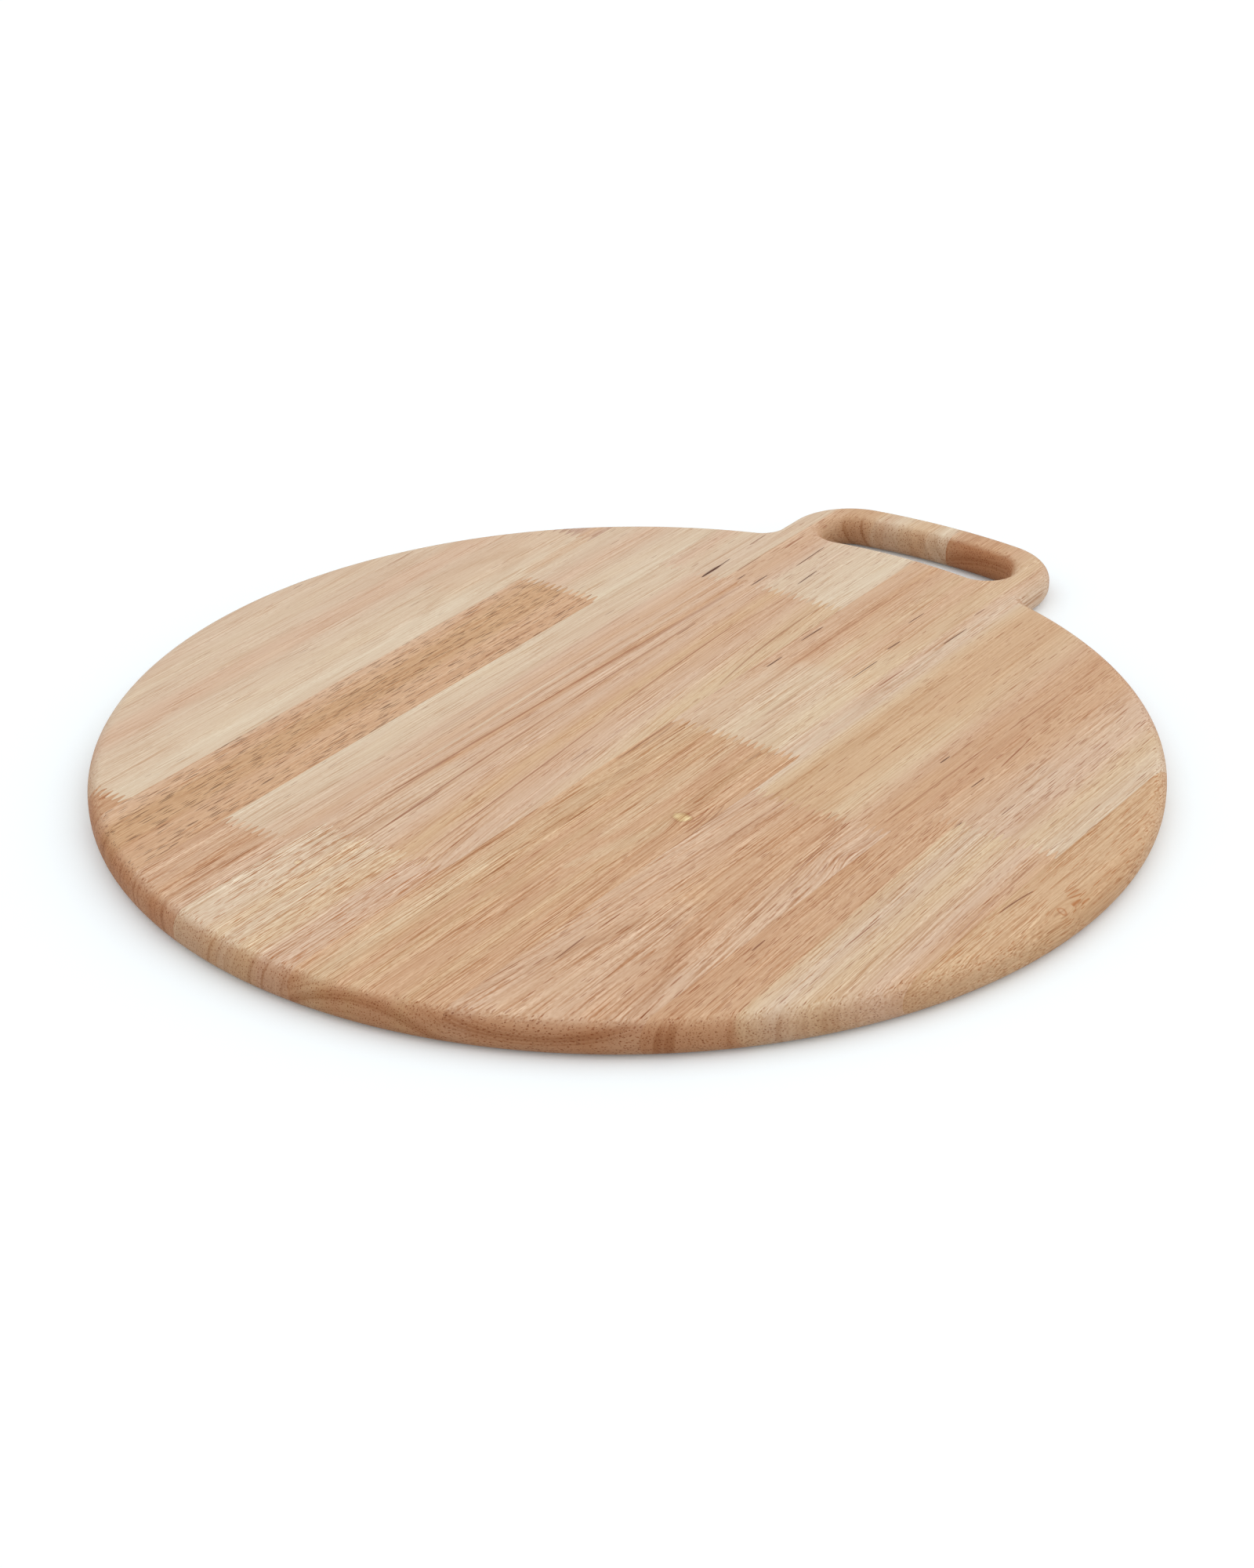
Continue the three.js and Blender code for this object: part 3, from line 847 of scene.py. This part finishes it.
# %% Lines of single blocks
LINES = {
    "stave_3_front": [
        (-121, 30, -121, 170, 12, "honey", 0.6),
    ],
    "stave_9_whole": [
        (196.8, -39.5, 199.3, -16.4, 0.8, "umber", 0.8, -0.5), (213.4, -15, 214.8, -8, 0.8, "amber", 0.7),
        (215.2, -17.5, 216, -11, 0.8, "amber", 0.7), (211.8, -14, 212.6, -6, 0.8, "amber", 0.6),
        (209.8, -12, 210.6, -4, 0.7, "amber", 0.5), (217, -13, 217.6, -7, 0.7, "amber", 0.6),
    ],
    "stave_2_middle": [
        (-133, 100, -133, 210, 9, "tan", 0.45), (-152, 60, -152, 230, 34, "rose", 0.35),
    ],
    "stave_1_whole": [
        (-188.3, 43, -185.2, 12, 0.7, "umber", 0.7, -0.6), (-188, -18, -188.6, -62, 0.9, "rust", 0.3, 0.3),
        (-186, 98, -185, 78, 0.7, "umber", 0.35, 0.2), (-191, 92, -190.4, 74, 1.0, "rust", 0.25, 0.2),
    ],
    "stave_4_middle": [
        (-65, 20, -64, -230, 9, "cream", 0.5), (-60, 60, -60, 230, 9, "rose", 0.3),
        (-69, 118, -66.5, -70, 0.9, "rust", 0.22, 0.4), (-63.5, 105, -62.5, -60, 0.8, "rust", 0.22),
        (-58.6, 115, -58, -70, 0.8, "rust", 0.22, 0.2), (-66, 20, -65, -140, 0.7, "rust", 0.2, 0.2),
        (-55.4, 75, -54.9, -120, 0.9, "ivory", 0.6), (-87, 90, -86.8, -140, 1.2, "ivory", 0.5),
        (-74, 80, -74, -140, 1.0, "ivory", 0.4),
    ],
    "stave_4_handle_end": [
        (-63.8, 172, -62.9, 146, 0.8, "char", 0.85, 0.2), (-63.3, 163, -62.9, 146, 1.7, "char", 0.95),
        (-65.6, 204, -65, 189, 0.7, "umber", 0.6), (-81.5, 190, -82, 150, 1.0, "rust", 0.2),
    ],
    "stave_5_handle_end": [
        (-42, 215, -36, 300, 24, "honey", 0.75), (-8, 225, -8, 300, 16, "sand", 0.75),
        (-35, 208, -34, 180, 0.6, "char", 0.9), (-23.3, 183, -22.6, 164, 0.6, "char", 0.9),
        (-53.6, 182, -53.2, 160, 0.7, "umber", 0.6), (-39.6, 166, -39.4, 151, 0.7, "char", 0.9),
        (-48.2, 161, -48, 148, 0.7, "char", 0.9), (-50, 213, -49.6, 195, 0.7, "rust", 0.65),
    ],
    "stave_5_middle": [
        (-40, -50, -40, -220, 24, "cream", 0.4), (-12, 60, -12, 240, 36, "tan", 0.3),
        (-42.5, 152, -46.2, 20, 1.9, "rust", 0.35), (-45.6, 75, -46.6, 0, 1.0, "rust", 0.5),
        (-46.4, 20, -48.6, -105, 1.1, "rust", 0.5), (-46.8, -50, -44, -134, 1.0, "rust", 0.45, -1.2),
        (-53.2, 85, -52.8, -10, 0.8, "rust", 0.35), (-50.2, 120, -50, 60, 0.8, "ivory", 0.4),
        (-38.4, 112, -37.2, 0, 0.8, "rust", 0.5, -0.4), (-37.2, 10, -31, -136, 0.9, "rust", 0.55, -0.6),
        (-32.8, -80, -32, -118, 0.8, "rust", 0.5), (-22.8, 122, -16, 0, 0.8, "rust", 0.55, -0.8),
        (-16.2, 12, -6.5, -128, 0.8, "rust", 0.55, 0.6), (-1, 152, 6.4, 55, 0.8, "rust", 0.5, -2.6),
        (-7, 48, -3.4, -10, 0.7, "rust", 0.3), (-19.2, 152, -22, 100, 0.8, "rust", 0.35),
        (-4.8, -15, -4.4, -33, 0.6, "umber", 0.55), (-37.6, 105, -37.4, 89, 0.7, "umber", 0.55),
    ],
    "stave_6_handle_end": [
        (26, 218, 28, 300, 30, "russet", 0.95), (9.6, 236, 9.2, 276, 1.2, "straw", 0.6),
        (36, -50, 36, 105, 60, "ivory", 0.5), (38, 120, 38, 300, 50, "tan", 0.4),
        (11.4, 134, 11, 115, 0.7, "char", 0.9), (12.8, 98, 12.7, 85, 0.7, "char", 0.9),
        (48.9, 118, 48.6, 96, 0.65, "char", 0.9), (46.8, 140, 46.5, 129, 0.7, "char", 0.9),
        (64.2, 168, 63.6, 147, 0.6, "char", 0.9), (62.3, 117, 62.1, 96, 0.6, "rust", 0.75),
        (20.8, 210, 20.6, 62, 0.8, "rust", 0.4), (19, 180, 19.4, 100, 0.7, "rust", 0.35),
        (40.8, 171, 40.4, 157, 0.6, "char", 0.9), (60.2, 190, 60, 180, 0.7, "umber", 0.65),
        (37.6, 72, 37.2, 44, 0.9, "rust", 0.3), (45.4, 43, 45.2, 25, 0.8, "rust", 0.35),
        (69, 200, 69, 40, 1.6, "cream", 0.3), (39.2, 120, 39.4, 60, 1.0, "ivory", 0.3),
    ],
    "stave_6_front": [
        (41, 30, 42, -80, 8, "straw", 0.6), (17, 40, 17, -120, 13, "honey", 0.4),
        (57.5, -40, 46.5, 4, 7, "russet", 0.45), (58, -48, 44, -105, 7, "straw", 0.55),
        (62.8, -32, 63.2, -52, 0.7, "rust", 0.55, 1.6), (64.2, -28, 66.4, -57, 0.7, "rust", 0.55, 1.4),
        (66.5, -26, 69, -54, 0.8, "umber", 0.45, 1.2), (8.8, 22, 10.2, -22, 0.8, "umber", 0.5),
        (10.5, 21, 12.4, -8, 0.7, "umber", 0.4, 0.3), (54, 19, 53.8, 7, 0.7, "umber", 0.45),
    ],
    "stave_7_front": [
        (100, -90, 100, -260, 30, "blush", 0.5), (76, -120, 74, -260, 10, "blush", 0.4),
        (127, -120, 127, -260, 10, "blush", 0.4), (113.4, -14, 125, -100, 1.0, "rust", 0.35, 1.0),
        (85, -14, 80, -92, 0.9, "rust", 0.3, 0.4), (81, -137, 81.6, -159, 0.65, "umber", 0.7),
        (82, -117, 82.2, -133, 0.6, "rust", 0.65),
    ],
    "stave_7_handle_end": [
        (100, 80, 100, 260, 60, "tan", 0.35), (119.2, 59, 119, 51, 0.7, "char", 0.9),
        (97.4, 90, 97.6, 0, 0.7, "rust", 0.35), (128.5, 135, 127.6, 90, 0.9, "rust", 0.45),
        (127.6, 80, 126, -8, 0.9, "rust", 0.5),
    ],
    "stave_8_front": [
        (195, 10, 197, -40, 0.9, "rust", 0.45, 0.6), (189.5, 8, 192.5, -70, 1.0, "rust", 0.35),
        (163, -65, 163.2, -93, 0.6, "rust", 0.75), (136.4, -103, 136.6, -113, 0.7, "umber", 0.8),
    ],
    "stave_8_handle_end": [
        (158, -40, 158, 80, 32, "shell", 0.35), (139.6, 51, 139.4, 40, 0.65, "char", 0.9),
        (150.8, 14, 151, 2, 0.65, "char", 0.9), (138.2, 93, 140.6, 61, 0.7, "rust", 0.75),
        (160.8, 39, 160.6, 27, 0.6, "umber", 0.65),
    ],
}
KNOTS = {
    "stave_5_front": [(-41.5, -157, 1.5, 2.0, 0.5, "butter", 0.4, "rust", 0.22)],
    "stave_6_front": [(59, -44.8, 4.4, 3.4, 0.5, "butter", 0.95, "rust", 0.3)],
    "stave_9_whole": [(214.8, -23.4, 1.7, 1.4, 0.5, "tan", 0.5, "amber", 0.5)],
}
print("lines drawn:", sum(map(len, LINES.values())), "knots:", sum(map(len, KNOTS.values())))

# %% [markdown]
# Now each block gets its material: the place in the tree, the bands as a colour ramp across it, the drawn
# lines, the wood group over them, and a Principled shader with a very shallow bump for the pores. The
# finish of the real board is an oiled satin, so the shine is weak and broad. A block's own numbers stand
# over the usual ones.

# %% Materials of the blocks
RELIEF = 0.05 * MM
RELIEF_STRENGTH = 0.6
SHINE = 0.1
USUAL = dict(taper=0.0, lean=0.0, fan=0.0, fan_centre=0.0, slant=0.0, wander=2.0, knot=(0, 0, 1, 1, 0, 0),
             figure=0.5, lines=0.2, streaks=0.5, pores=0.3, pore_dark=0.7, pore_tone="rust", ends=1.0)
PITH_LABELS = ("pith_across", "pith_height")
KNOT_LABELS = ("knot_across", "knot_along", "knot_width", "knot_length", "knot_part", "knot_push")


def set_values(node, values):
    """Plain values for the inputs that bear their names; an underscore stands for a space."""
    for name, value in values.items():
        label = name.replace("_", " ").title()
        if label in node.inputs:
            node.inputs[label].default_value = value


def band_ramp(tree, across, bands):
    """A colour ramp across the stave, with one stop for each band; its alpha holds the share of pores."""
    low, high = bands[0][0], bands[-1][0]
    inputs = {"Value": across, "From Min": low, "From Max": high}
    node = add(tree, "ValToRGB", {0: add(tree, "MapRange", inputs).outputs[0]})
    stops = node.color_ramp.elements
    while len(stops) < len(bands):
        stops.new(0.5)
    for stop, (place_mm, tone, *share) in zip(stops, bands):
        stop.position = (place_mm - low) / (high - low)
        stop.color = linear(TONES[tone], share[0] if share else 1.0)
    return node.outputs["Color"], node.outputs["Alpha"]


def drawn_lines(tree, place, colour, lines):
    """The single lines of a block, laid one after another over its colour."""
    side, along = place.outputs["Side"], place.outputs["Along"]
    uneven = noise(joined(side, along), (4, 14, 1), 2.0)
    for x0, y0, x1, y1, width, tone, strength, *bend in lines:
        inputs = {"Across": side, "Along": along, "Uneven": uneven, "From Across": x0, "From Along": y0,
                  "To Across": x1, "To Along": y1, "Bend": bend[0] if bend else 0.0,
                  "Width": width}
        line = add(tree, "Group", inputs, node_tree=line_group)
        colour = tinted(times(line.outputs["Mask"], strength), colour, linear(TONES[tone]))
    return colour


def drawn_knots(tree, colour, knots):
    """The eyes of the knots of a block, each with its rings, over its colour."""
    for x, y, half_width, half_length, turns, tone, strength, ring_tone, ring_strength in knots:
        inputs = {"Eye Across": x, "Eye Along": y, "Half Width": half_width, "Half Length": half_length,
                  "Turns": turns}
        eye = add(tree, "Group", inputs, node_tree=eye_group)
        colour = tinted(times(eye.outputs["Eye"], strength), colour, linear(TONES[tone]))
        rings = times(eye.outputs["Rings"], ring_strength)
        colour = tinted(rings, colour, linear(TONES[ring_tone]))
    return colour


def wood_material(node, seed):
    """The oiled wood of one block."""
    look = {**USUAL, **BLOCKS[node], "seed": float(seed)}
    look.update(zip(PITH_LABELS, look["pith"]))
    look.update(zip(KNOT_LABELS, look["knot"]))
    look["pore_tone"] = linear(TONES[look["pore_tone"]])
    bands = look.pop("bands")
    material = bpy.data.materials.new(f"oiled_{node}")
    material.use_nodes = True
    tree = material.node_tree
    shader = tree.nodes["Principled BSDF"]
    place = add(tree, "Group", node_tree=place_group)
    set_values(place, look)
    colour, share = band_ramp(tree, place.outputs["Across"], bands)
    colour = drawn_lines(tree, place, colour, LINES.get(node, []))
    colour = drawn_knots(tree, colour, KNOTS.get(node, []))
    wood = add(tree, "Group", node_tree=wood_group)
    set_values(wood, look)
    tree.links.new(colour, wood.inputs["Bands"])
    tree.links.new(share, wood.inputs["Share"])
    for label in ("Across", "Along", "Depth", "Ring"):
        tree.links.new(place.outputs[label], wood.inputs[label])
    tree.links.new(wood.outputs["Color"], shader.inputs["Base Color"])
    tree.links.new(wood.outputs["Roughness"], shader.inputs["Roughness"])
    relief = {"Height": wood.outputs["Height"], "Distance": RELIEF, "Strength": RELIEF_STRENGTH}
    tree.links.new(add(tree, "Bump", relief).outputs[0], shader.inputs["Normal"])
    shader.inputs["Specular IOR Level"].default_value = SHINE
    return material


for seed, (node, piece) in enumerate(blocks.items(), start=1):
    piece.data.materials.clear()
    piece.data.materials.append(wood_material(node, seed))
    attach(piece, "root")
    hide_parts(node)
print("blocks dressed:", len(blocks))

# %% [markdown]
# The board lies on a white sweep in a white tent: light comes from everywhere, most from above and from
# the two sides, least from the camera's side. So the sky is a smooth function of direction, and there
# is no lamp at all. The camera sees the sweep as white, with the soft shadow of the board on it. Light
# that bounces up from the sweep is weaker, which keeps the lower edge of the board dark.

# %% Floor and light
FLOOR_SIZE = 12.0
FLOOR_GAP = 0.1 * MM
FLOOR_BOUNCE = 0.65
FLOOR_SEEN = (0.92, 0.975, 1.0, 1)
FLOOR_LIFT = (0.085, 0.085, 0.085, 1)
SKY_ROUND = 0.2
SKY_SIDES = 0.66
SKY_ABOVE = 0.79
SKY_RIGHT = 0.2


def seen_directly(tree):
    """1 for rays that the viewer sees, also in reflections and through glass; 0 for light that bounces."""
    path = add(tree, "LightPath")
    seen = most(path.outputs["Is Camera Ray"], path.outputs["Is Glossy Ray"])
    return most(seen, path.outputs["Is Transmission Ray"])


def make_floor():
    """One large white quad just under the board."""
    half = FLOOR_SIZE / 2
    corner = np.array([(-half, -half), (half, -half), (half, half), (-half, half)])
    mesh = bpy.data.meshes.new("floor")
    mesh.from_pydata(np.c_[corner, np.full(4, -FLOOR_GAP)].tolist(), [], [(0, 1, 2, 3)])
    floor = placed("floor", mesh)
    material = bpy.data.materials.new("white_sweep")
    material.use_nodes = True
    tree = material.node_tree
    shader = tree.nodes["Principled BSDF"]
    bounce = (FLOOR_BOUNCE, FLOOR_BOUNCE, FLOOR_BOUNCE, 1)
    seen = seen_directly(tree)
    tree.links.new(tinted(seen, bounce, FLOOR_SEEN), shader.inputs["Base Color"])
    shader.inputs["Roughness"].default_value = 1.0
    shader.inputs["Specular IOR Level"].default_value = 0.0
    tree.links.new(tinted(seen, (0, 0, 0, 1), FLOOR_LIFT), shader.inputs["Emission Color"])
    shader.inputs["Emission Strength"].default_value = 1.0
    mesh.materials.append(material)
    return floor


def make_sky():
    """White where it is seen; as light, an even part plus parts from both sides, the right and above."""
    world = bpy.data.worlds.new("studio")
    bpy.context.scene.world = world
    world.use_nodes = True
    tree = world.node_tree
    direction = add(tree, "TexCoord").outputs["Generated"]
    side = (math.cos(CAMERA_AZIMUTH), math.sin(CAMERA_AZIMUTH), 0)
    product = add(tree, "VectorMath", {0: direction, 1: side}, operation="DOT_PRODUCT")
    sideways = product.outputs["Value"]
    upwards = parts(direction)[2]
    level = times_plus(calc("ABSOLUTE", sideways), SKY_SIDES, SKY_ROUND)
    level = times_plus(sideways, SKY_RIGHT, level)
    level = times_plus(most(upwards, 0.0), SKY_ABOVE, level)
    level = times_plus(seen_directly(tree), minus(1.0, level), level)
    background = tree.nodes["Background"]
    background.inputs["Color"].default_value = (1, 1, 1, 1)
    tree.links.new(level, background.inputs["Strength"])


floor = make_floor()
make_sky()
bpy.context.scene.view_settings.view_transform = "Standard"
print("floor and sky set")
